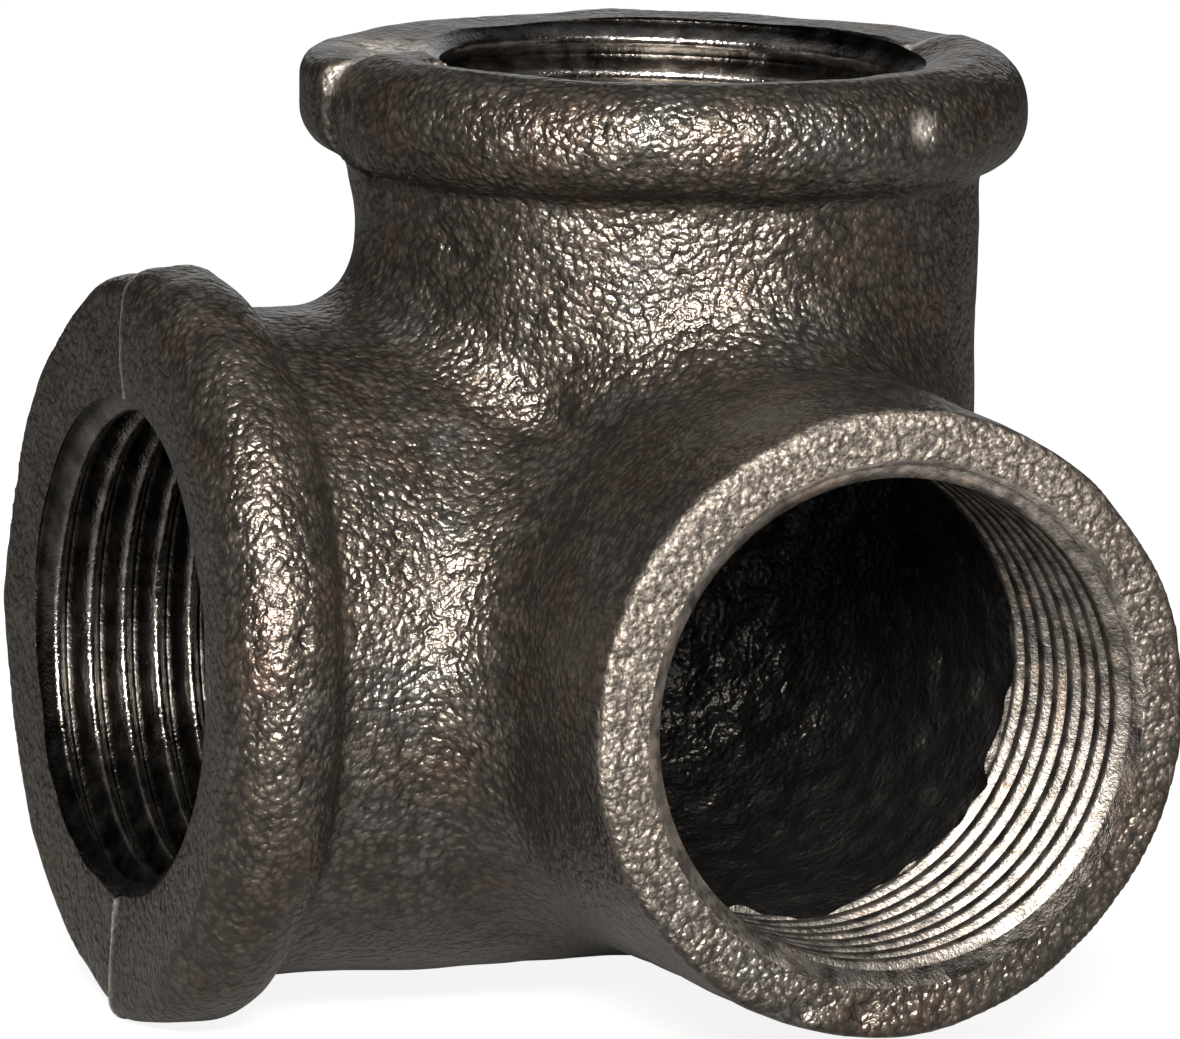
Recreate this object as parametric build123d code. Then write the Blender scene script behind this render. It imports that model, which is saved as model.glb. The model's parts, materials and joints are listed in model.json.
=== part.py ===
from build123d import *
import math
import os

# Side outlet elbow (three-way corner elbow), nominal size 1 inch, one black malleable iron casting.
# Millimetres. The banded outlets point to +Z and -X, and the plain side outlet points to -Y.
# It is built around the point where the three centre lines cross, with the mould's parting plane
# at Y = 0, and moved at the end so that the origin is the middle of its box's bottom face.

# Pipe thread: Whitworth form, 11 turns to the inch, parallel
THREAD_PITCH = 25.4 / 11
THREAD_MAJOR_R = 33.249 / 2
THREAD_MINOR_R = 30.291 / 2
THREAD_CREST_FLAT = 0.38
THREAD_ROOT_FLAT = 0.45
THREAD_DEPTH_IN = 17.5        # from the mouth to the end of the threaded wall
MOUTH_R = 16.9                # wide end of the cone that leads into the thread
MOUTH_DEPTH = 1.2             # how deep that cone is in the banded outlets
PLAIN_MOUTH_DEPTH = 2.0
PLAIN_BORE_R = 15.5           # the side outlet's bore is larger, so its thread has blunt crests
CORE_R = 16.9                 # cored passage behind the threads

# Overlaps that keep one cut clear of the next
GROOVE_OVERLAP = 0.3
PAST_MOUTH = 1.0

# Lengths from the crossing point
CENTRE_TO_BAND_FACE = 38.0
CENTRE_TO_PLAIN_FACE = 40.5

# Outside of the casting
TOP_NECK_R = 20.2
SIDE_NECK_R = 21.6
TOP_BAND_R = 23.3
SIDE_BAND_R = 24.4
BAND_WIDTH = 7.7
BEAD_R = 3.6                  # rounding of the front half's bead
TOP_BEAD_DROP = 0.9           # how far each bead has fallen where it meets the mouth
SIDE_BEAD_DROP = 0.2
REAR_BAND_EDGE = 1.2          # rounding of the rear half's sharper outer edge
REAR_BAND_LAND = 2.6          # straight part of the rear band's side
REAR_FACE_DROP = 0.5          # how far the rear half's band faces lie below the front half's
BAND_ROOT_FILLET = 1.7
PLAIN_R = 20.0
PLAIN_ROOT_R = 20.5
PLAIN_RIM_ROUND = 0.7
CROTCH_FILLET = 4.5
SIDE_OUTLET_FILLET = 6.0
FRONT_SHIFT = -0.25           # how far each mould half put the top outlet out of line, along X
REAR_SHIFT = -0.85


def half_section(points, arcs):
    """A closed section beside the Z axis. arcs maps a run's first point to its middle point."""
    with BuildSketch(Plane.XZ) as section:
        with BuildLine():
            for start, end in zip(points, points[1:] + points[:1]):
                if start in arcs:
                    ThreePointArc(start, arcs[start], end)
                else:
                    Line(start, end)
        make_face()
    return section.sketch


def on_arc(centre, radius, degrees):
    """The point of a circle at an angle from the radial direction."""
    turn = math.radians(degrees)
    return (centre[0] + radius * math.cos(turn), centre[1] + radius * math.sin(turn))


def bead_section(neck_r, band_r, drop):
    """Banded outlet in the front mould half: a full round bead that rolls over to the mouth."""
    face, back = CENTRE_TO_BAND_FACE, CENTRE_TO_BAND_FACE - BAND_WIDTH
    middle = (band_r - BEAD_R, face - BEAD_R)
    foot = on_arc(middle, BEAD_R, -50)
    neck, crest = (neck_r, back), (middle[0], face)
    inner = (MOUTH_R, face - drop)
    hollow = (neck_r + 0.25 * (foot[0] - neck_r), back + 0.45 * (foot[1] - back))
    roll = (MOUTH_R + 0.5 * (crest[0] - MOUTH_R), face - 0.3 * drop)
    points = [(0, 0), (neck_r, 0), neck, foot, crest, inner, (0, inner[1])]
    arcs = {neck: hollow, foot: on_arc(middle, BEAD_R, 20), crest: roll}
    return half_section(points, arcs)


def flat_section(neck_r, band_r, _):
    """Banded outlet in the rear mould half: a flat face with a sharper outer edge."""
    face, back = CENTRE_TO_BAND_FACE - REAR_FACE_DROP, CENTRE_TO_BAND_FACE - BAND_WIDTH
    round_centre = (band_r - REAR_BAND_EDGE, face - REAR_BAND_EDGE)
    edge, rim = (band_r, round_centre[1]), (round_centre[0], face)
    land_end = (band_r, round_centre[1] - REAR_BAND_LAND)
    neck = (neck_r, back)
    foot = (neck_r + BAND_ROOT_FILLET, back + BAND_ROOT_FILLET)
    hollow = on_arc((foot[0], back), BAND_ROOT_FILLET, 135)
    points = [(0, 0), (neck_r, 0), neck, foot, land_end, edge, rim, (0, face)]
    arcs = {neck: hollow, edge: on_arc(round_centre, REAR_BAND_EDGE, 45)}
    return half_section(points, arcs)


def half_turn(section, front):
    """The section turned half a turn about Z, on the front (-Y) or the rear (+Y) side."""
    solid = revolve(section, axis=Axis.Z, revolution_arc=180)
    on_front = solid.center().Y < 0
    return solid if on_front == front else solid.rotate(Axis.Z, 180)


def elbow_half(front):
    """Both banded outlets and the rounded corner between them, in one mould half."""
    section = bead_section if front else flat_section
    shift = FRONT_SHIFT if front else REAR_SHIFT
    top = Pos(shift, 0, 0) * half_turn(section(TOP_NECK_R, TOP_BAND_R, TOP_BEAD_DROP), front)
    side = half_turn(section(SIDE_NECK_R, SIDE_BAND_R, SIDE_BEAD_DROP), front)
    side = side.rotate(Axis.Y, -90)
    reach = 2 * CENTRE_TO_BAND_FACE
    half_space = Box(2 * reach, reach, 2 * reach, align=(Align.CENTER, Align.MIN, Align.CENTER))
    corner = Sphere(SIDE_NECK_R) & half_space.rotate(Axis.Z, 180 if front else 0)
    root = side + corner
    body = root + top
    seam = [edge for edge in new_edges(root, top, combined=body) if edge.bounding_box().size.Y > 1]
    return fillet(seam, CROTCH_FILLET)


def plain_outlet():
    """The side outlet: a plain drafted collar with no band, out along -Y."""
    face, edge = CENTRE_TO_PLAIN_FACE, PLAIN_RIM_ROUND
    side, rim = (PLAIN_R, face - edge), (PLAIN_R - edge, face)
    points = [(0, 0), (PLAIN_ROOT_R, 0), side, rim, (0, face)]
    arcs = {side: on_arc((rim[0], side[1]), edge, 45)}
    return revolve(half_section(points, arcs), axis=Axis.Z).rotate(Axis.X, 90)


def outside():
    """The whole casting's outer shape, without its passages."""
    elbow = elbow_half(front=True) + elbow_half(front=False)
    collar = Pos(FRONT_SHIFT, 0, 0) * plain_outlet()
    body = elbow + collar
    return fillet(new_edges(elbow, collar, combined=body), SIDE_OUTLET_FILLET)


def thread_groove():
    """One turn of the thread as a closed ring at height 0. It starts a little inside the bore."""
    inner = THREAD_MINOR_R - GROOVE_OVERLAP
    half_root = THREAD_ROOT_FLAT / 2
    half_mouth = (THREAD_PITCH - THREAD_CREST_FLAT) / 2
    points = [(inner, -half_mouth), (THREAD_MINOR_R, -half_mouth), (THREAD_MAJOR_R, -half_root),
              (THREAD_MAJOR_R, half_root), (THREAD_MINOR_R, half_mouth), (inner, half_mouth)]
    return revolve(half_section(points, {}), axis=Axis.Z)


def passage(face, bore_r=THREAD_MINOR_R, mouth_depth=MOUTH_DEPTH):
    """All that is cut from one outlet, along +Z: cored passage, threaded wall, mouth cone."""
    thread_end = face - THREAD_DEPTH_IN
    spread = (MOUTH_R - bore_r) / mouth_depth
    points = [(0, 0), (CORE_R, 0), (CORE_R, thread_end - (CORE_R - bore_r)),
              (bore_r, thread_end), (bore_r, face - mouth_depth),
              (MOUTH_R + PAST_MOUTH * spread, face + PAST_MOUTH), (0, face + PAST_MOUTH)]
    cut = revolve(half_section(points, {}), axis=Axis.Z)
    turns = int((THREAD_DEPTH_IN - mouth_depth - THREAD_CREST_FLAT) / THREAD_PITCH)
    first = face - mouth_depth - THREAD_CREST_FLAT - THREAD_PITCH / 2
    for turn in range(turns):
        cut += Pos(0, 0, first - turn * THREAD_PITCH) * thread_groove()
    return cut


def elbow_casting():
    """The finished fitting: the casting with its passages and threads cut."""
    top = passage(CENTRE_TO_BAND_FACE)
    side = passage(CENTRE_TO_BAND_FACE).rotate(Axis.Y, -90)
    plain = passage(CENTRE_TO_PLAIN_FACE, PLAIN_BORE_R, PLAIN_MOUTH_DEPTH).rotate(Axis.X, 90)
    return outside() - Sphere(CORE_R) - top - side - plain


def crossing_point():
    """Where the centre lines cross, seen from the middle of the bottom of the whole box."""
    low = (-CENTRE_TO_BAND_FACE, -CENTRE_TO_PLAIN_FACE, -SIDE_BAND_R)
    high = (TOP_BAND_R + FRONT_SHIFT, SIDE_BAND_R, CENTRE_TO_BAND_FACE)
    return Vector(-(low[0] + high[0]) / 2, -(low[1] + high[1]) / 2, -low[2])


os.makedirs("parts", exist_ok=True)
export_step(Pos(crossing_point()) * elbow_casting(), "parts/elbow_casting.step")
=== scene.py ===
import json
import math
from collections import namedtuple

import bmesh
import bpy
import numpy as np
import openvdb
from mathutils import Matrix, Vector


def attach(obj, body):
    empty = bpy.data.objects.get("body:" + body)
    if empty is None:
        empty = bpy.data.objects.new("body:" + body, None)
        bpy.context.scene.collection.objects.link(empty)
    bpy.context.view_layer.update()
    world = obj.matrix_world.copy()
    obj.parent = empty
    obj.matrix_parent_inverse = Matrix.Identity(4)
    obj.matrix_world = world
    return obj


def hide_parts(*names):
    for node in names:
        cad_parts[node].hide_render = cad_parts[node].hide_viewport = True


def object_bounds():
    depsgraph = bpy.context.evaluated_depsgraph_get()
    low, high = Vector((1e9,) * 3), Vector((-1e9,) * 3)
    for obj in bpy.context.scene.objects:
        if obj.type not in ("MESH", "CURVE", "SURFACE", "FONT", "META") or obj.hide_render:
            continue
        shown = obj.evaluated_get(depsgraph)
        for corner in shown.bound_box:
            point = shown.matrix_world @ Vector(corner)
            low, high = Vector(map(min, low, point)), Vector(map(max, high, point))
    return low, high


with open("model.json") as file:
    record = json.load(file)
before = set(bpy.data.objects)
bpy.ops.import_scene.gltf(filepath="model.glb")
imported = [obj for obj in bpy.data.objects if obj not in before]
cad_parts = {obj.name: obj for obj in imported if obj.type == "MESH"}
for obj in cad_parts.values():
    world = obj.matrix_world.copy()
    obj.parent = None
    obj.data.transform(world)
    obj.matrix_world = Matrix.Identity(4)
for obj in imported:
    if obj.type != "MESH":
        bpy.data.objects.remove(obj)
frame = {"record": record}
cad_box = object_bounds()

# A three-way corner elbow in black malleable iron. The casting is modelled as a distance field
# round the point where the three centre lines cross, in millimetres, and is then tapped with
# three thread cutters, as the real one is.
MM = 0.001
mounts = {m["name"]: m for m in frame["record"]["mounts"]}
CROSSING = np.array([mounts["top_outlet"]["pos_m"][0],
                     mounts["top_outlet"]["pos_m"][1],
                     mounts["band_outlet"]["pos_m"][2]]) / MM
BOX_LOW = np.array(cad_box[0]) / MM - CROSSING
BOX_HIGH = np.array(cad_box[1]) / MM - CROSSING
BAND_FACE = BOX_HIGH[2]
PLAIN_FACE = -BOX_LOW[1]

# A banded outlet: the front mould half makes a round bead, and the rear half a flat band
Band = namedtuple("Band", [
    "neck_r",
    "band_r",
    "growth",                 # how much larger than band_r the bead is
    "rise",                   # how far the bead's middle sits off the centre line
    "drop",                   # how far the bead falls towards the mouth
    "blunt",                  # how much less its edge is rounded near the parting plane
    "rear_r",
    "rear_growth",            # how much larger the flat band is at the parting plane
    "low_round",              # extra rounding of the flat band's edge, low and high
    "high_round",
])
TOP_BAND = Band(neck_r=20.2, band_r=23.3, growth=0.0, rise=0.0, drop=0.9, blunt=0.0,
                rear_r=23.3, rear_growth=0.0, low_round=0.0, high_round=0.0)
SIDE_BAND = Band(neck_r=21.6, band_r=24.4, growth=0.25, rise=0.35, drop=0.4, blunt=2.2,
                 rear_r=24.0, rear_growth=0.25, low_round=2.6, high_round=1.7)
BAND_WIDTH = 7.7
BEAD_R = 3.6                  # rounding of a bead's edges
BEAD_ROOT_FILLET = 0.7
BLUNT_SPAN = 38               # degrees to each side of the parting plane
HIGH_BLUNT_LOSS = 0.45        # how much less blunt the bead is on its high side
REAR_BAND_EDGE = 1.2          # rounding of a flat band's edges, outer and under
REAR_UNDER_EDGE = 2.4
REAR_BAND_WIDTH = 6.2
REAR_FACE_DROP = 0.5          # how far the flat bands' faces lie below the beads'
DRESSED_AT = 48               # degrees from straight back to the middle of the extra rounding
DRESSED_SPAN = 26
BAND_ROOT_FILLET = 1.7

# The rest of the outside
PLAIN_R = 20.0
PLAIN_ROOT_R = 20.5
PLAIN_RIM_ROUND = 0.7
CROTCH_FILLET = 4.5
SIDE_OUTLET_FILLET = 6.0
FRONT_SHIFT = -0.25           # how far each mould half was out of line, along X
REAR_SHIFT = -0.85
REAR_FROM_Y = (-0.15, 0.45)   # where the front half's shape gives way to the rear half's
SLIP_FROM_Y = (-0.15, 0.6)
SLIP_BELOW_FACE = (12, 7)     # only the top band is out of line: from and to, below its face

# Inside
THREAD_PITCH = 25.4 / 11
THREAD_MAJOR_R = 33.249 / 2
THREAD_MINOR_R = mounts["top_outlet"]["dims"]["r_mm"]
PLAIN_CREST_R = mounts["side_outlet"]["dims"]["r_mm"]      # its thread has blunt crests
THREAD_DEPTH_IN = 17.5
THREAD_FLANK = (0.04, 0.92)   # where a thread's flank starts and ends, as shares of half a pitch
THREAD_FULLNESS = 0.9         # an exponent: below 1, its crests are fuller
MOUTH_R = 16.9
MOUTH_DEPTH = 1.2
PLAIN_MOUTH_DEPTH = 2.0
CORE_R = 16.9
CORED_BORE_R = 14.8           # the raw hole, which the tap opens out
CORE_SLANT = (-3.6, 0.6)      # where the core narrows, from the thread's inner end

# Unevenness of the sand mould: layers of height in mm, distance between bumps in mm, and seed
SKIN_LAYERS = ((0.08, 5.0, 11), (0.035, 2.4, 12), (0.018, 1.2, 13))
NARROWING_LAYERS = ((0.35, 3.0, 18), (0.45, 1.3, 19))
CORE_LAYERS = ((0.14, 4.0, 15), (0.15, 1.1, 16))
TORN_LAYERS = ((0.3, 0.9, 17),)
LATTICE_SPREAD = 0.33         # spread of a smoothed lattice of unit values

# Flash: the ragged ridge of metal that squeezed into the mould's parting plane
FLASH_HEIGHT = 0.4
FLASH_Y = -0.1
FLASH_WIDTH = 0.32
FLASH_BREAKS = (3.0, 14)      # distance between its breaks, and seed
FLASH_LIMITS = (0.1, 1.2)     # the noise at which it is absent and whole
ON_FACE_FROM = (2, 0.5)       # it is on a band's face from and to here, below the face
FLASH_MORE_ON_FACE = 0.8      # it is more even there, and lower
FLASH_LOWER_ON_FACE = 0.4

# Knocks, pits and lumps: place in mm from the crossing point, spread, depth and bare metal.
# A depth below zero is a lump.
MARKS = (
    ((9.0, -21.5, 35.1), 0.8, 0.8, 1.0),
    ((-16.6, 7.6, 37.8), 2.4, 0.6, 1.0),
    ((-19.0, 3.4, 37.6), 1.3, 0.5, 0.9),
    ((-20.6, 1.2, 37.0), 1.0, 0.25, 0.25),
    ((-10.1, -20.9, 33.1), 0.7, 0.5, 0.0),
    ((-34.0, -24.0, 4.2), 0.5, 0.6, 0.0),
    ((-18.3, -8.4, 26.6), 0.7, 0.4, 0.0),
    ((-17.2, -10.5, 26.6), 0.6, 0.35, 0.0),
    ((-18.6, -7.8, 27.5), 0.6, 0.35, 0.0),
    ((-17.6, -9.8, 25.6), 0.5, 0.35, 0.0),
    ((-17.3, -40.5, 8.3), 0.5, 0.7, 0.0),
    ((-18.6, -40.5, 4.8), 0.5, 0.7, 0.0),
    ((-2.0, -40.5, -18.4), 0.7, 0.7, 0.0),
    ((-6.0, -40.5, -18.0), 0.6, 0.6, 0.0),
    ((10.3, -1.2, -13.4), 1.3, -0.9, 0.0),
    ((16.4, -0.4, 2.8), 0.8, -0.6, 0.0),
)

# The field's grid
VOXEL = 0.36
MARGIN = 1.6
FIELD_REACH = 3 * VOXEL

# Thread cutters
ROWS_PER_TURN = 14
STEPS_ROUND = 224
TAP_RUN_IN = 3.2              # how far a tap goes past the thread's inner end
RUN_OUT = 1.5                 # how far a tap or a cone stands out of the mouth
TAP_POINT = 0.5               # height of the flat cones that close a tap
CONE_UNDERCUT = 0.6           # how far a mouth cone goes on past its own depth

# The three outlets: turns that take +Z to each one, and what the cutters need
UP = ((1, 0, 0), (0, 1, 0), (0, 0, 1))
LEFT = ((0, 0, -1), (0, 1, 0), (1, 0, 0))
FRONT = ((1, 0, 0), (0, 0, -1), (0, 1, 0))
Outlet = namedtuple("Outlet", "name turned face mouth_depth crest_r")
OUTLETS = (
    Outlet("top", UP, BAND_FACE, MOUTH_DEPTH, THREAD_MINOR_R),
    Outlet("side", LEFT, BAND_FACE, MOUTH_DEPTH, THREAD_MINOR_R),
    Outlet("plain", FRONT, PLAIN_FACE, PLAIN_MOUTH_DEPTH, PLAIN_CREST_R),
)

# How each outlet's metal looks: bare face, clean threads, and the threads' reflectance, which on the
# top outlet is raised as painted light on its threads
Look = namedtuple("Look", "bare clean polish")
LOOKS = (Look(0.1, 0.1, 0.42), Look(0.1, 0.1, 0.22), Look(1.0, 1.0, 0.155))
OTHER_POLISH = 0.2
CUT_PAST_THREAD = 3           # how far in past the thread a tap can have cut
CUT_PAST_MOUTH_R = 0.3
CONE_FROM = (2.0, 1.2)        # where threads give way to the mouth cone, below the face
CONE_SHARE = 0.9              # the part of the plain outlet's cone that counts as no groove
CONE_TONE_LIMITS = (0.06, 0.5)
FACE_FROM = (1.0, 0.2)        # where the skin gives way to the face, below the face
FACE_BARE_AND_LIGHT_LIMITS = (0.05, 1.6)
FACE_INSIDE_BAND = 1          # a face's bare metal ends this far inside the side band's edge

# Where the cast skin is painted bright, from 0 to 1: a painted highlight along the seam, partly worn
# metal, and bare metal in the knocks; and where it is duller and painted dark as shade
# painted highlight: a bright line along the seam, partly worn metal
SEAM_HIGHLIGHT = 0.8
SEAM_Y = -0.15
SEAM_WIDTH = 0.3
SEAM_BELOW_FACE = 2.5
BEAD_END_BRIGHT = 0.14
BEAD_END_Y = (-0.3, 0.02)
BEAD_END_FROM = (7, 5)        # from and to, below the face
KNOCK_BRIGHT = 1.6
# Painted shade on the rear half's step just behind the top band's seam, at its left end, which is
# also duller
STEP_SHADE_Y = 0.35
STEP_SHADE_WIDTH = 0.4
STEP_SHADE_FROM_Y = 0.02
STEP_SHADE_LEFT_OF = -21.5
STEP_SHADE_FROM_Z = (28, 31)

# The raw inside, which has the core's material, painted nearly black as shade: how far it reaches
# round each centre line, and how far below the faces it starts
INSIDE_R = CORE_R + 1.2
INSIDE_BELOW_FACE = 8
SHARP_ANGLE = 48              # degrees
CAST, CUT, CORED = range(3)   # material slots


# ---------------------------------------------------------------- numbers and noise

def spline_weights(at, size):
    """Matrix that takes lattice values to smooth values at the given places, in lattice cells."""
    cell = np.floor(at).astype(int)
    t = at - cell
    weights = np.zeros((len(at), size), np.float32)
    rows = np.arange(len(at))
    kernel = ((1 - t) ** 3 / 6, (3 * t ** 3 - 6 * t ** 2 + 4) / 6,
              (-3 * t ** 3 + 3 * t ** 2 + 3 * t + 1) / 6, t ** 3 / 6)
    for k, w in enumerate(kernel):
        weights[rows, cell + k] = w
    return weights


def grid_noise(axes, size, seed):
    """Smooth random values of about unit spread on a grid, with bumps about this many mm apart."""
    cells = [(a - a[0]) / size for a in axes]
    counts = [int(c[-1]) + 5 for c in cells]
    lattice = np.random.default_rng(seed).standard_normal(counts).astype(np.float32)
    for axis, (c, n) in enumerate(zip(cells, counts)):
        lattice = np.moveaxis(np.tensordot(spline_weights(c, n), lattice, axes=(1, axis)), 0, axis)
    return lattice / LATTICE_SPREAD


def uneven(axes, layers):
    """The sum of several layers of noise."""
    return sum(height * grid_noise(axes, size, seed) for height, size, seed in layers)


def smoothstep(value, low, high):
    t = np.clip((value - low) / (high - low), 0, 1)
    return t * t * (3 - 2 * t)


# ---------------------------------------------------------------- distance fields

def round_union(a, b, radius):
    """Union of two fields with a concave fillet of the given radius, which may be a field."""
    outside = np.sqrt(np.maximum(radius - a, 0) ** 2 + np.maximum(radius - b, 0) ** 2)
    return np.maximum(radius, np.minimum(a, b)) - outside


def round_cut(a, b, radius):
    """Intersection of two fields with the edge between them rounded."""
    outside = np.sqrt(np.maximum(radius + a, 0) ** 2 + np.maximum(radius + b, 0) ** 2)
    return np.minimum(-radius, np.maximum(a, b)) + outside


def slope(field):
    return np.stack(np.gradient(field, VOXEL))


def filleted(a, b, radius):
    """Union with a fillet that fades where the two surfaces run into each other smoothly."""
    facing = (slope(a) * slope(b)).sum(0)
    return round_union(a, b, radius * np.clip(1 - facing, 0.02, 1) ** 0.8)


def ring(rho, s, outer_r, low, high, top_round, under_round):
    """A band round an axis, with its outer edges rounded."""
    face = round_cut(rho - outer_r, s - high, top_round)
    return round_cut(face, low - s, under_round)


def front_half(across, y, s, neck, band):
    """A banded outlet in the front mould half: a round bead that falls towards the mouth."""
    rho = np.sqrt(across ** 2 + y ** 2)
    turn = np.degrees(np.arctan2(across, y))
    at_parting = smoothstep(-np.abs(np.abs(turn) - 90), -BLUNT_SPAN, 0)
    blunt = band.blunt * at_parting * (1 - HIGH_BLUNT_LOSS * (across > 0))
    from_bead = np.sqrt((across - band.rise) ** 2 + y ** 2)
    bead = ring(from_bead, s, band.band_r + band.growth, BAND_FACE - BAND_WIDTH, BAND_FACE,
                BEAD_R - blunt, BEAD_R)
    roll = np.maximum(band.band_r - BEAD_R - rho, 0) / (band.band_r - BEAD_R - MOUTH_R)
    bead_face = s - BAND_FACE + band.drop * roll ** 2
    return np.maximum(round_union(neck, bead, BEAD_ROOT_FILLET), bead_face)


def rear_half(across, y, s, neck, band):
    """A banded outlet in the rear mould half: a flat face with a sharper edge at the sides."""
    rho = np.sqrt(across ** 2 + y ** 2)
    turn = np.degrees(np.arctan2(across, y))
    rounding = REAR_BAND_EDGE + (BEAD_R - REAR_BAND_EDGE) * (y / np.maximum(rho, 1)) ** 2
    for extra, middle in ((band.low_round, -DRESSED_AT), (band.high_round, DRESSED_AT)):
        rounding = rounding + extra * np.exp(-((turn - middle) / DRESSED_SPAN) ** 2)
    face = BAND_FACE - REAR_FACE_DROP
    outer_r = band.rear_r + band.rear_growth * np.clip(np.abs(turn) / 90, 0, 1) ** 6
    flat = ring(rho, s, outer_r, face - REAR_BAND_WIDTH, face, rounding, REAR_UNDER_EDGE)
    return np.maximum(round_union(neck, flat, BAND_ROOT_FILLET), s - face)


def banded_branch(across, y, s, rear, band):
    """One banded outlet: neck with a spherical inner end, and band. rear runs from 0 to 1."""
    rho = np.sqrt(across ** 2 + y ** 2)
    neck = np.sqrt(rho ** 2 + np.minimum(s, 0) ** 2) - band.neck_r
    front = front_half(across, y, s, neck, band)
    return (1 - rear) * front + rear * rear_half(across, y, s, neck, band)


def plain_branch(x, y, z):
    """The side outlet's drafted collar."""
    s = -y
    rho = np.sqrt(x ** 2 + z ** 2)
    radius = PLAIN_ROOT_R + (PLAIN_R - PLAIN_ROOT_R) * np.clip(s / PLAIN_FACE, 0, 1)
    wall = np.sqrt(rho ** 2 + np.minimum(s, 0) ** 2) - radius
    return round_cut(wall, s - PLAIN_FACE, PLAIN_RIM_ROUND)


def cored(across, other, s, face, wobble):
    """The sand core of one outlet: wide within, and narrow where the thread is to be cut."""
    step = face - THREAD_DEPTH_IN
    narrowing = smoothstep(s + wobble, step + CORE_SLANT[0], step + CORE_SLANT[1])
    radius = CORE_R - (CORE_R - CORED_BORE_R) * narrowing
    rho = np.sqrt(across ** 2 + other ** 2)
    return np.sqrt(rho ** 2 + np.minimum(s, 0) ** 2) - radius


def squared_distance(where, centre):
    return sum((w - c) ** 2 for w, c in zip(where, centre))


def outside_field(axes, x, y, z, everywhere):
    """The casting's outside, with its mould mismatch, unevenness and flash."""
    rear = smoothstep(y, *REAR_FROM_Y) + everywhere
    low, high = (BAND_FACE - below for below in SLIP_BELOW_FACE)
    slipped = smoothstep(y, *SLIP_FROM_Y) * smoothstep(z, low, high)
    shifted = x - FRONT_SHIFT - (REAR_SHIFT - FRONT_SHIFT) * slipped
    top = banded_branch(shifted, y, z, rear, TOP_BAND)
    side = banded_branch(z, y, -x, rear, SIDE_BAND)
    elbow = filleted(top, side, CROTCH_FILLET)
    plain = plain_branch(x - FRONT_SHIFT, y, z) + everywhere
    outer = filleted(elbow, plain, SIDE_OUTLET_FILLET)
    outer += uneven(axes, SKIN_LAYERS)
    low, high = (BAND_FACE - below for below in ON_FACE_FROM)
    on_face = smoothstep(np.maximum(z, -x), low, high)
    breaks = grid_noise(axes, *FLASH_BREAKS) + FLASH_MORE_ON_FACE * on_face
    ridge = FLASH_HEIGHT * np.exp(-((y - FLASH_Y) / FLASH_WIDTH) ** 2)
    outer -= ridge * smoothstep(breaks, *FLASH_LIMITS) * (1 - FLASH_LOWER_ON_FACE * on_face)
    return outer


def core_field(axes, x, y, z):
    """The sand core's outside, which is the casting's raw inside."""
    wobble = uneven(axes, NARROWING_LAYERS)
    core = np.minimum(cored(x, y, z, BAND_FACE, wobble), cored(z, y, -x, BAND_FACE, wobble))
    core = np.minimum(core, cored(x, z, -y, PLAIN_FACE, wobble))
    core += uneven(axes, CORE_LAYERS)
    return core


def casting_field(axes):
    """The raw casting, before it is tapped: below zero inside the iron."""
    x, y, z = (a.reshape([-1 if i == k else 1 for i in range(3)]).astype(np.float32)
               for k, a in enumerate(axes))
    everywhere = np.zeros([len(a) for a in axes], np.float32)
    outer = outside_field(axes, x, y, z, everywhere)
    casting = np.maximum(outer, -core_field(axes, x, y, z))
    torn = uneven(axes, TORN_LAYERS)
    for centre, spread, depth, bare in MARKS:
        near = np.exp(-squared_distance((x, y, z), centre) / spread ** 2)
        casting += (depth + bare * torn) * near
    return casting


# ---------------------------------------------------------------- meshes

def linked(name, mesh):
    obj = bpy.data.objects.new(name, mesh)
    bpy.context.scene.collection.objects.link(obj)
    return obj


def raw_casting():
    """The field's surface as a mesh of quads, in metres."""
    low = BOX_LOW - MARGIN
    axes = [np.arange(low[k], BOX_HIGH[k] + MARGIN, VOXEL) for k in range(3)]
    field = np.clip(casting_field(axes), -FIELD_REACH, FIELD_REACH).astype(np.float64)
    grid = openvdb.FloatGrid(FIELD_REACH)
    grid.copyFromArray(field)
    points, quads = grid.convertToQuads(isovalue=0.0)
    points = points * VOXEL + low
    quads = quads[:, ::-1]
    mesh = bpy.data.meshes.new("elbow_casting_skin")
    mesh.vertices.add(len(points))
    mesh.vertices.foreach_set("co", ((points + CROSSING) * MM).astype(np.float32).ravel())
    mesh.loops.add(quads.size)
    mesh.loops.foreach_set("vertex_index", quads.astype(np.int32).ravel())
    mesh.polygons.add(len(quads))
    mesh.polygons.foreach_set("loop_start", np.arange(0, quads.size, 4, dtype=np.int32))
    mesh.update(calc_edges=True)
    mesh.validate()
    return linked("elbow_casting_skin", mesh)


def cutter(name, points, faces, turned):
    """A closed solid in metres, from points in mm round +Z, turned to its outlet."""
    mesh = bpy.data.meshes.new(name)
    points = points @ np.array(turned).T
    mesh.from_pydata(((points + CROSSING) * MM).tolist(), [], faces)
    mesh.update()
    return linked(name, mesh)


def thread_profile(t, crest_r):
    """Radius of the thread cutter at a share t of its pitch, with the rounded Whitworth form."""
    wave = np.abs((t % 1.0) - 0.5) * 2                 # 0 at the groove's bottom, 1 at the crest
    depth = THREAD_MAJOR_R - THREAD_MINOR_R
    rounded = smoothstep(wave, *THREAD_FLANK) ** THREAD_FULLNESS
    return np.maximum(THREAD_MAJOR_R - depth * rounded, crest_r)


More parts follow.
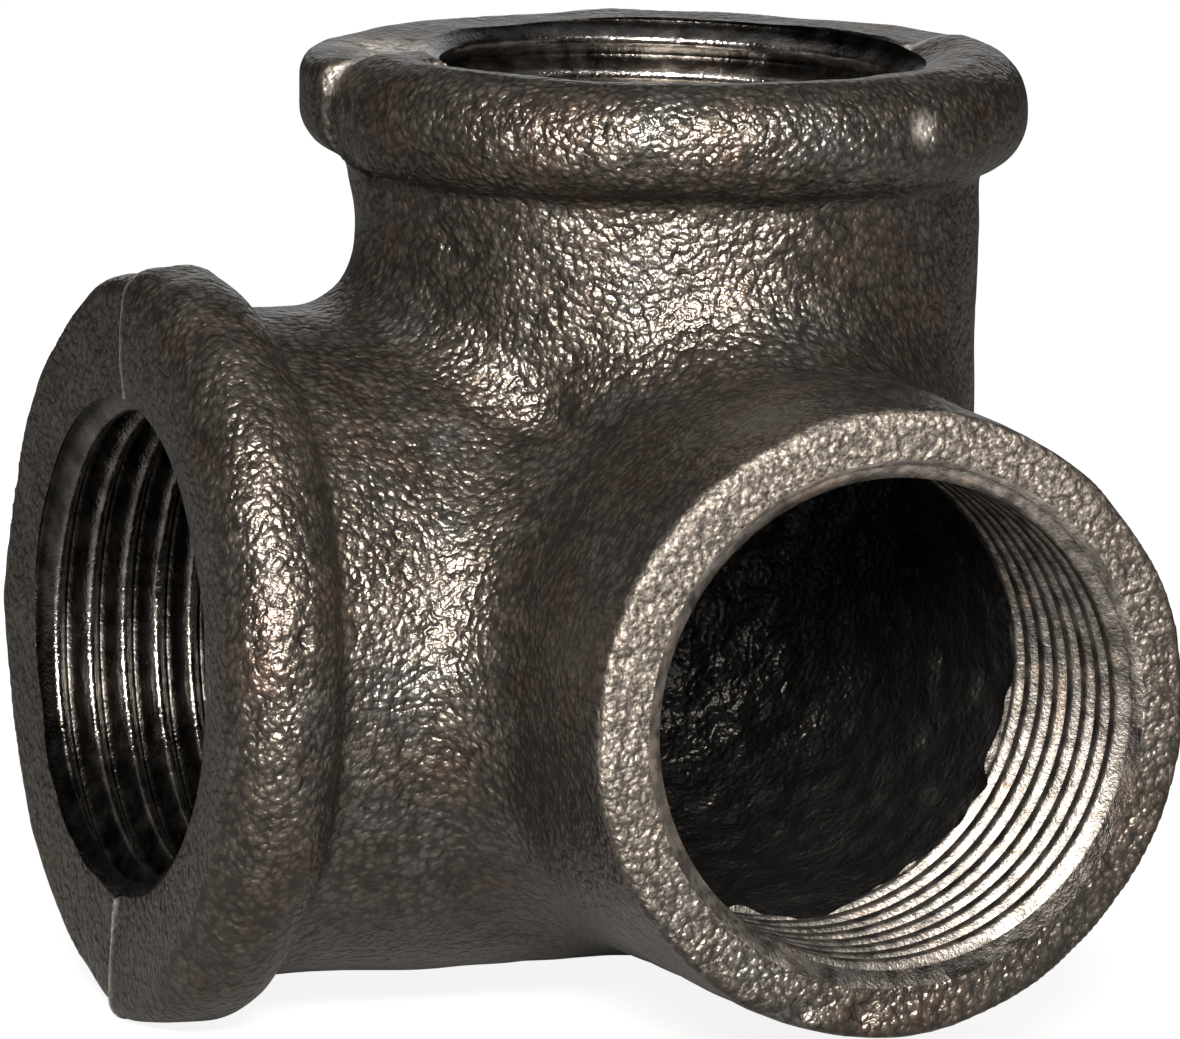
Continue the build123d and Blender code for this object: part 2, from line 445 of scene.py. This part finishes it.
def tap(outlet):
    """A thread cutter: a closed solid whose rows of vertices follow the thread's helix."""
    start = outlet.face - THREAD_DEPTH_IN - TAP_RUN_IN
    rows = int((outlet.face + RUN_OUT - start) / THREAD_PITCH * ROWS_PER_TURN)
    row, step = np.mgrid[0:rows, 0:STEPS_ROUND]
    turn = step / STEPS_ROUND
    share = row / ROWS_PER_TURN
    s = start + (share + turn) * THREAD_PITCH
    radius = thread_profile(share, outlet.crest_r)
    angle = turn * 2 * math.pi
    points = np.stack([radius * np.cos(angle), radius * np.sin(angle), s], -1).reshape(-1, 3)

    index = row * STEPS_ROUND + step
    here, above = index[:-1, :-1], index[1:, :-1]
    sides = np.stack([here, here + 1, above + 1, above], -1).reshape(-1, 4)
    k = ROWS_PER_TURN
    last, first = index[:rows - k - 1, -1], index[k:rows - 1, 0]
    joins = np.stack([last, first, first + STEPS_ROUND, last + STEPS_ROUND], -1)

    top_loop = list(index[-1, :]) + list(index[rows - 1:rows - k - 2:-1, -1][1:])
    bottom_loop = list(index[0, ::-1]) + list(index[0:k + 1, 0][1:])
    ends = [[0, 0, s.max() + TAP_POINT], [0, 0, s.min() - TAP_POINT]]
    fans = []
    for loop, centre in ((top_loop, len(points)), (bottom_loop, len(points) + 1)):
        fans += [(a, b, centre) for a, b in zip(loop, loop[1:] + loop[:1])]
    faces = np.concatenate([sides, joins]).tolist() + fans
    return cutter("tap_" + outlet.name, np.vstack([points, ends]), faces, outlet.turned)


def mouth_cone(outlet):
    """The cutter of the cone that leads into the thread."""
    steps = STEPS_ROUND
    angle = np.arange(steps) / steps * 2 * math.pi
    spread = (MOUTH_R - THREAD_MINOR_R) / outlet.mouth_depth
    inner = outlet.face - outlet.mouth_depth - CONE_UNDERCUT
    ends = ((MOUTH_R + RUN_OUT * spread, outlet.face + RUN_OUT),
            (THREAD_MINOR_R - CONE_UNDERCUT * spread, inner))
    points = np.concatenate([
        np.stack([radius * np.cos(angle), radius * np.sin(angle), np.full(steps, s)], -1)
        for radius, s in ends])
    around = [(i, (i + 1) % steps) for i in range(steps)]
    faces = [(a, a + steps, b + steps, b) for a, b in around]
    faces += [tuple(range(steps)), tuple(range(2 * steps - 1, steps - 1, -1))]
    return cutter("cone_" + outlet.name, points, faces, outlet.turned)


def outward(obj):
    """Turns a closed mesh's faces outward."""
    bm = bmesh.new()
    bm.from_mesh(obj.data)
    bmesh.ops.recalc_face_normals(bm, faces=bm.faces)
    if bm.calc_volume(signed=True) < 0:
        bmesh.ops.reverse_faces(bm, faces=bm.faces)
    bm.to_mesh(obj.data)
    bm.free()


def cut_away(obj, cutters):
    """Subtracts closed solids one after another. Their material marks the faces they leave."""
    for solid in cutters:
        cut = obj.modifiers.new("cut", "BOOLEAN")
        cut.operation = "DIFFERENCE"
        cut.solver = "MANIFOLD"
        cut.object = solid
        cut.material_mode = "INDEX"
        graph = bpy.context.evaluated_depsgraph_get()
        result = bpy.data.meshes.new_from_object(obj.evaluated_get(graph), depsgraph=graph)
        obj.modifiers.remove(cut)
        obj.data = result
    for solid in cutters:
        bpy.data.objects.remove(solid)


# ---------------------------------------------------------------- materials

class Nodes:
    """Short way to write the node tree of a material or a world."""

    def __init__(self, owner):
        owner.use_nodes = True
        self.tree = owner.node_tree
        self.tree.nodes.clear()

    def put(self, socket, value):
        if isinstance(value, bpy.types.NodeSocket):
            self.tree.links.new(value, socket)
        else:
            socket.default_value = value

    def add(self, kind, inputs=None, **settings):
        node = self.tree.nodes.new(kind)
        for name, value in settings.items():
            setattr(node, name, value)
        for name, value in (inputs or {}).items():
            self.put(node.inputs[name], value)
        return node

    def scaled(self, vector, scale):
        return self.add("ShaderNodeVectorMath", {0: vector, "Scale": scale},
                        operation="SCALE").outputs[0]

    def place(self):
        """Position in mm."""
        return self.scaled(self.add("ShaderNodeTexCoord").outputs["Object"], 1 / MM)

    def noise(self, where, size, detail=2.0, rough=0.5):
        return self.add("ShaderNodeTexNoise", {"Vector": where, "Scale": 1.0 / size, "Detail": detail,
                                               "Roughness": rough}).outputs["Fac"]

    def cells(self, where, size, smooth):
        return self.add("ShaderNodeTexVoronoi", {"Vector": where, "Scale": 1.0 / size,
                                                 "Smoothness": smooth},
                        feature="SMOOTH_F1").outputs["Distance"]

    def math(self, operation, a, b=0.0):
        return self.add("ShaderNodeMath", {0: a, 1: b}, operation=operation).outputs[0]

    def remap(self, value, low, high, to_low=0.0, to_high=1.0):
        return self.add("ShaderNodeMapRange", {"Value": value, "From Min": low, "From Max": high,
                                               "To Min": to_low, "To Max": to_high}).outputs[0]

    def mix(self, share, a, b):
        """Colour mix."""
        return self.add("ShaderNodeMix", {0: share, 6: a, 7: b}, data_type="RGBA").outputs[2]

    def bump(self, height, strength, distance):
        return self.add("ShaderNodeBump", {"Height": height, "Strength": strength,
                                           "Distance": distance}).outputs[0]

    def attribute(self, name):
        return self.add("ShaderNodeAttribute", attribute_name=name).outputs["Fac"]

    def camera_ray(self):
        return self.add("ShaderNodeLightPath").outputs["Is Camera Ray"]

    def principled(self, colour, rough, normal, metallic):
        shader = self.add("ShaderNodeBsdfPrincipled", {"Base Color": colour, "Roughness": rough,
                                                       "Normal": normal, "Metallic": metallic})
        self.finish(shader)

    def finish(self, shader, output="ShaderNodeOutputMaterial"):
        out = self.add(output)
        self.tree.links.new(shader.outputs[0], out.inputs["Surface"])


def grey(value, warmth=0.0):
    return (value * (1 + warmth), value, value * (1 - warmth), 1)


RUST = (0.082, 0.050, 0.038, 1)
TAN = (0.95, 0.62, 0.42, 1)


def bent(n, where):
    """The place pushed about by noise, so that the sand's pebbles aren't regular."""
    wobble = n.add("ShaderNodeTexNoise", {"Vector": where, "Scale": 1.1, "Detail": 1.0})
    push = n.scaled(wobble.outputs["Color"], 0.7)
    return n.add("ShaderNodeVectorMath", {0: where, 1: push}, operation="ADD").outputs[0]


def skin_colour(n, where, shade, rim):
    """Black-brown oiled skin with cool and rusty patches, scraped to bare grit on a bare rim; on the
    plain rim the grit also paints light falling from the top left.
    """
    patches = n.noise(where, 6.0, 2.0, 0.6)
    dark = n.mix(shade, grey(0.039, 0.15), grey(0.073, 0.15))
    cool = n.mix(n.remap(patches, 0.30, 0.46, 0.7, 0.0), dark, grey(0.075, 0.0))
    rust = n.mix(n.remap(patches, 0.54, 0.72, 0.0, 0.55), cool, RUST)
    grit = n.remap(n.noise(where, 0.22, 2.0, 0.7), 0.40, 0.58)
    scraped = n.mix(grit, grey(0.050, 0.2), grey(0.168, 0.10))
    return n.mix(n.math("MULTIPLY", rim, 0.62), rust, scraped)


def cast_iron(name, inside=False):
    """Iron as it came from the sand: pebbled, with painted shade in the cracks between pebbles, and
    painted nearly black as shade inside.
    """
    material = bpy.data.materials.new(name)
    n = Nodes(material)
    where = n.place()
    pebbles = n.cells(bent(n, where), 0.58, 0.35)
    grain = n.noise(where, 0.36, 1.0, 0.5)
    blotch = n.noise(where, 1.8, 2.0, 0.6)
    rim = n.attribute("rim")
    dull_and_step_shade = n.attribute("dull_and_step_shade")

    height = n.math("SUBTRACT", n.math("MULTIPLY", grain, 0.8), pebbles)
    height = n.math("ADD", height, n.math("MULTIPLY", blotch, 0.9))
    height = n.math("MULTIPLY", height, n.remap(rim, 0.0, 1.0, 1.0, 0.9))
    normal = n.bump(height, 1.0, 0.00016)

    shade = n.remap(blotch, 0.35, 0.7)
    if inside:
        # painted shade: the deep inside is painted nearly black, far darker than the skin
        colour = n.mix(shade, grey(0.012), grey(0.024))
    else:
        colour = skin_colour(n, where, shade, rim)
    # painted shade in the cracks between the pebbles
    crack_shade = n.remap(pebbles, 0.30, 0.62, 0.0, 0.68)
    colour = n.mix(crack_shade, colour, grey(0.016, 0.1))
    # painted highlight: the seam is painted near white, partly worn metal; knocks show bare metal
    wear_and_seam_highlight = n.math("MULTIPLY", n.attribute("wear_and_seam_highlight"), n.remap(grain, 0.35, 0.6, 0.5, 1.2))
    colour = n.mix(wear_and_seam_highlight, colour, grey(0.55, 0.06))
    # painted shade behind the top band's seam
    colour = n.mix(n.math("MULTIPLY", dull_and_step_shade, 0.8), colour, grey(0.014, 0.25))

    rough = n.math("ADD", n.remap(blotch, 0.3, 0.75, 0.28, 0.42), n.math("MULTIPLY", rim, 0.18))
    rough = n.math("ADD", rough, n.math("MULTIPLY", dull_and_step_shade, 0.3))
    n.principled(colour, rough, normal, 0.85)
    return material


def cut_iron(name):
    """Iron that a tool has cut: bright, with oil and dirt in the grooves, tan stains, and painted
    light in its reflectance.
    """
    material = bpy.data.materials.new(name)
    n = Nodes(material)
    where = n.place()
    dirt = n.noise(where, 1.5, 3.0, 0.6)
    fresh = n.attribute("fresh")

    base = n.mix(n.remap(dirt, 0.35, 0.7), grey(0.30, 0.08), grey(1.0, 0.06))
    tan = n.remap(n.noise(where, 3.0, 3.0, 0.7), 0.55, 0.75, 0.0, 0.7)
    base = n.mix(n.math("MULTIPLY", tan, fresh), base, TAN)
    flecks = n.remap(n.noise(where, 0.55, 4.0, 0.75), 0.50, 0.66, 0.0, 0.7)
    base = n.mix(n.math("MULTIPLY", flecks, fresh), base, grey(0.16, 0.2))
    in_groove = n.remap(n.attribute("groove"), 0.48, 0.85)
    darkened = n.math("MULTIPLY", in_groove, n.remap(dirt, 0.2, 0.6, 1.0, 0.8))
    base = n.mix(darkened, base, grey(0.05, 0.1))
    # painted light: the reflectance also brightens the top threads and the plain outlet's cone
    # towards the top left
    colour = n.scaled(base, n.attribute("polish"))

    normal = n.bump(n.noise(where, 0.25, 2.0, 0.6), 0.7, 0.00010)
    rough = n.math("ADD", n.remap(dirt, 0.3, 0.7, 0.13, 0.22), n.math("MULTIPLY", fresh, 0.28))
    rough = n.math("ADD", rough, n.math("MULTIPLY", darkened, 0.08))
    n.principled(colour, rough, normal, 1.0)
    return material


# ---------------------------------------------------------------- wear and painted light, as numbers per point

def from_crossing(metres):
    """x, y and z in mm from the crossing point, from a flat list of places in metres."""
    return (metres.reshape(-1, 3) / MM - CROSSING).T


def along_outlets(x, y, z):
    """Distance from each outlet's centre line and along it, in the order of OUTLETS."""
    return (np.hypot(x, y), z), (np.hypot(y, z), -x), (np.hypot(x, z), -y)


def cut_wear(x, y, z):
    """Grooves' dirt, clean metal, reflectance with painted light, and bare metal on the mouths' rims.
    """
    groove = np.zeros(len(x))
    fresh = np.zeros(len(x))
    polish = np.full(len(x), OTHER_POLISH)
    rim = np.zeros(len(x))
    for (rho, s), outlet, look in zip(along_outlets(x, y, z), OUTLETS, LOOKS):
        face = outlet.face
        here = (s > face - THREAD_DEPTH_IN - CUT_PAST_THREAD) & (rho < MOUTH_R + CUT_PAST_MOUTH_R)
        depth = np.clip((rho - THREAD_MINOR_R) / (THREAD_MAJOR_R - THREAD_MINOR_R), 0, 1)
        cone = smoothstep(s, face - CONE_FROM[0], face - CONE_FROM[1])
        tone = 0.5 * look.polish
        on_face = smoothstep(s, face - FACE_FROM[0], face - FACE_FROM[1])
        on_face = on_face * (rho < SIDE_BAND.band_r - FACE_INSIDE_BAND)
        if outlet.name == "plain":
            depth = depth * (s < face - CONE_SHARE * PLAIN_MOUTH_DEPTH)
            # painted light: its cone is painted brighter towards the top left and darker to the
            # bottom right, and its face has more bare metal towards the top left, which also paints
            # the light falling there
            tone = 0.27 + 0.23 * (z - x) / PLAIN_R
            on_face = on_face * np.clip(0.82 + 0.8 * (z - 0.4 * x) / PLAIN_R, *FACE_BARE_AND_LIGHT_LIMITS)
        groove = np.where(here, depth, groove)
        fresh = np.where(here, look.clean, fresh)
        polish_and_cone_light = look.polish + (np.clip(tone, *CONE_TONE_LIMITS) - look.polish) * cone
        polish = np.where(here, polish_and_cone_light, polish)
        rim = np.maximum(rim, look.bare * on_face)
    return {"groove": groove, "fresh": fresh, "polish": polish, "rim": rim}


def cast_wear(x, y, z):
    """A painted highlight along the seam, partly worn metal, and bare metal in the knocks; and a
    duller skin painted dark as shade just behind the top band's seam.
    """
    out = np.maximum(z, -x)
    seam = (out > BAND_FACE - SEAM_BELOW_FACE) & (y < SEAM_WIDTH)
    # painted highlight along the seam, partly worn metal there
    wear_and_seam_highlight = SEAM_HIGHLIGHT * np.exp(-((y - SEAM_Y) / SEAM_WIDTH) ** 2) * seam
    low, high = (BAND_FACE - below for below in BEAD_END_FROM)
    bead_end = smoothstep(out, low, high) * (y > BEAD_END_Y[0]) * (y < BEAD_END_Y[1])
    wear_and_seam_highlight = np.maximum(wear_and_seam_highlight, BEAD_END_BRIGHT * bead_end)
    for centre, spread, _, bare in MARKS:
        near = np.exp(-squared_distance((x, y, z), centre) / spread ** 2)
        wear_and_seam_highlight = np.maximum(wear_and_seam_highlight, np.clip(KNOCK_BRIGHT * bare * near, 0, 1))
    # painted shade: the step just behind the top band's seam is painted dark, and made rougher
    behind_seam = np.exp(-((y - STEP_SHADE_Y) / STEP_SHADE_WIDTH) ** 2) * (y > STEP_SHADE_FROM_Y)
    dull_and_step_shade = behind_seam * (x < STEP_SHADE_LEFT_OF) * smoothstep(z, *STEP_SHADE_FROM_Z)
    return {"wear_and_seam_highlight": wear_and_seam_highlight, "dull_and_step_shade": dull_and_step_shade}


def in_core(x, y, z):
    """Which places are on the raw inside, well in from the mouths."""
    inside = np.sqrt(x ** 2 + y ** 2 + z ** 2) < INSIDE_R
    deep = True
    for (rho, s), outlet in zip(along_outlets(x, y, z), OUTLETS):
        inside = inside | ((rho < INSIDE_R) & (s > 0))
        deep = deep & (s < outlet.face - INSIDE_BELOW_FACE)
    return inside & deep


def finish_mesh(mesh):
    """Gives the mesh its wear and painted light, the core's material inside, painted dark as shade,
    and smooth shading.
    """
    places = np.zeros(len(mesh.vertices) * 3, np.float32)
    mesh.vertices.foreach_get("co", places)
    x, y, z = from_crossing(places)
    for name, values in {**cut_wear(x, y, z), **cast_wear(x, y, z)}.items():
        layer = mesh.attributes.new(name, "FLOAT", "POINT")
        layer.data.foreach_set("value", values.astype(np.float32))

    count = len(mesh.polygons)
    slots = np.zeros(count, np.int32)
    mesh.polygons.foreach_get("material_index", slots)
    centres = np.zeros(count * 3, np.float32)
    mesh.polygons.foreach_get("center", centres)
    slots = np.where((slots == CAST) & in_core(*from_crossing(centres)), CORED, slots)
    mesh.polygons.foreach_set("material_index", slots)
    mesh.polygons.foreach_set("use_smooth", np.ones(count, bool))
    mesh.set_sharp_from_angle(angle=math.radians(SHARP_ANGLE))
    mesh.update()


# ---------------------------------------------------------------- the piece

def elbow_piece():
    casting = raw_casting()
    cutters = []
    for outlet in OUTLETS:
        cutters += [tap(outlet), mouth_cone(outlet)]
    # the core's material is painted nearly black as shade deep inside
    materials = (cast_iron("black_iron_as_cast"), cut_iron("black_iron_cut"),
                 cast_iron("black_iron_core_painted_shade", inside=True))
    for obj in [casting] + cutters:
        outward(obj)
        for material in materials:
            obj.data.materials.append(material)
    for solid in cutters:
        slots = np.full(len(solid.data.polygons), CUT, np.int32)
        solid.data.polygons.foreach_set("material_index", slots)
    cut_away(casting, cutters)
    finish_mesh(casting.data)
    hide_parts("elbow_casting")
    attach(casting, "root")


# ---------------------------------------------------------------- studio

CAMERA_AZIMUTH = -21.5
CAMERA_ELEVATION = 9.1
CAMERA_ROLL = 1.05
CAMERA_DISTANCE = 1.07
VIEW_CENTRE = (-4.69, 6.70, 0)                # mm from the crossing point, right and up in the view
MM_PER_WIDTH = 76.9                           # width of the view at the object
SENSOR_WIDTH = 36

FLOOR_HALF_WIDTH = 3.0
FLOOR_BASE = (0.15, 0.15, 0.15, 1)
FLOOR_GLOW = 0.88                             # only for the camera
WHITE = (1, 1, 1, 1)
FILL_STRENGTH = 0.029
WARM = (1.0, 0.945, 0.88)
WARM_WHITE = (1.0, 0.965, 0.92)


def at(azimuth, elevation, distance):
    """A place round the object, seen at this azimuth and elevation."""
    a, e = math.radians(azimuth), math.radians(elevation)
    return Vector((math.sin(a) * math.cos(e), -math.cos(a) * math.cos(e), math.sin(e))) * distance


def studio_camera():
    back = at(CAMERA_AZIMUTH, CAMERA_ELEVATION, 1.0)
    turn = back.to_track_quat("Z", "Y").to_matrix()
    turn = turn @ Matrix.Rotation(math.radians(CAMERA_ROLL), 3, "Z")
    aim = Vector(CROSSING * MM) + turn @ Vector(VIEW_CENTRE) * MM
    data = bpy.data.cameras.new("camera")
    data.sensor_width = SENSOR_WIDTH
    data.lens = SENSOR_WIDTH * CAMERA_DISTANCE / (MM_PER_WIDTH * MM)
    data.clip_start, data.clip_end = 0.05, 20
    camera = linked("camera", data)
    camera.matrix_world = Matrix.Translation(aim + back * CAMERA_DISTANCE) @ turn.to_4x4()
    bpy.context.scene.camera = camera


def softbox(name, place, size, power, colour=(1, 1, 1)):
    """A rectangular lamp at a place from the object's middle, turned to face it."""
    data = bpy.data.lights.new(name, "AREA")
    data.shape = "RECTANGLE"
    data.size, data.size_y = size
    data.energy = power
    data.color = colour
    light = linked(name, data)
    centre = (cad_box[0] + cad_box[1]) / 2
    light.location = centre + Vector(place)
    light.rotation_mode = "QUATERNION"
    light.rotation_quaternion = Vector(place).to_track_quat("Z", "Y")


def studio_floor():
    """A pale floor that looks nearly white to the camera and lights the object only a little."""
    half = FLOOR_HALF_WIDTH
    z = cad_box[0].z
    corners = [(-half, -half, z), (half, -half, z), (half, half, z), (-half, half, z)]
    mesh = bpy.data.meshes.new("floor")
    mesh.from_pydata(corners, [], [(0, 1, 2, 3)])
    material = bpy.data.materials.new("pale_floor")
    n = Nodes(material)
    n.finish(n.add("ShaderNodeBsdfPrincipled", {
        "Base Color": FLOOR_BASE, "Roughness": 0.8, "Emission Color": WHITE,
        "Emission Strength": n.math("MULTIPLY", n.camera_ray(), FLOOR_GLOW)}))
    mesh.materials.append(material)
    floor = linked("floor", mesh)


def studio_world():
    """A weak fill light that the camera sees as a white background."""
    world = bpy.data.worlds.new("studio")
    bpy.context.scene.world = world
    n = Nodes(world)
    fill = n.add("ShaderNodeBackground", {"Color": WHITE, "Strength": FILL_STRENGTH})
    shown = n.add("ShaderNodeBackground", {"Color": WHITE, "Strength": 1.0})
    mix = n.add("ShaderNodeMixShader", {0: n.camera_ray(), 1: fill.outputs[0],
                                        2: shown.outputs[0]})
    n.finish(mix, "ShaderNodeOutputWorld")


def studio():
    studio_floor()
    studio_world()
    softbox("key", at(-22, 24, 0.55), (0.20, 0.15), 20.0, WARM)
    softbox("low_strip", at(-30, -1, 0.9), (0.10, 0.05), 0.5, WARM_WHITE)
    softbox("front_right", at(24, 42, 0.9), (0.12, 0.12), 1.4, WARM_WHITE)
    softbox("overhead", (0.0, 0.05, 0.9), (1.2, 1.2), 1.5)
    softbox("behind", at(159, 12, 0.9), (0.5, 0.25), 0.4)
    bpy.context.scene.view_settings.view_transform = "Standard"


elbow_piece()
studio_camera()
studio()
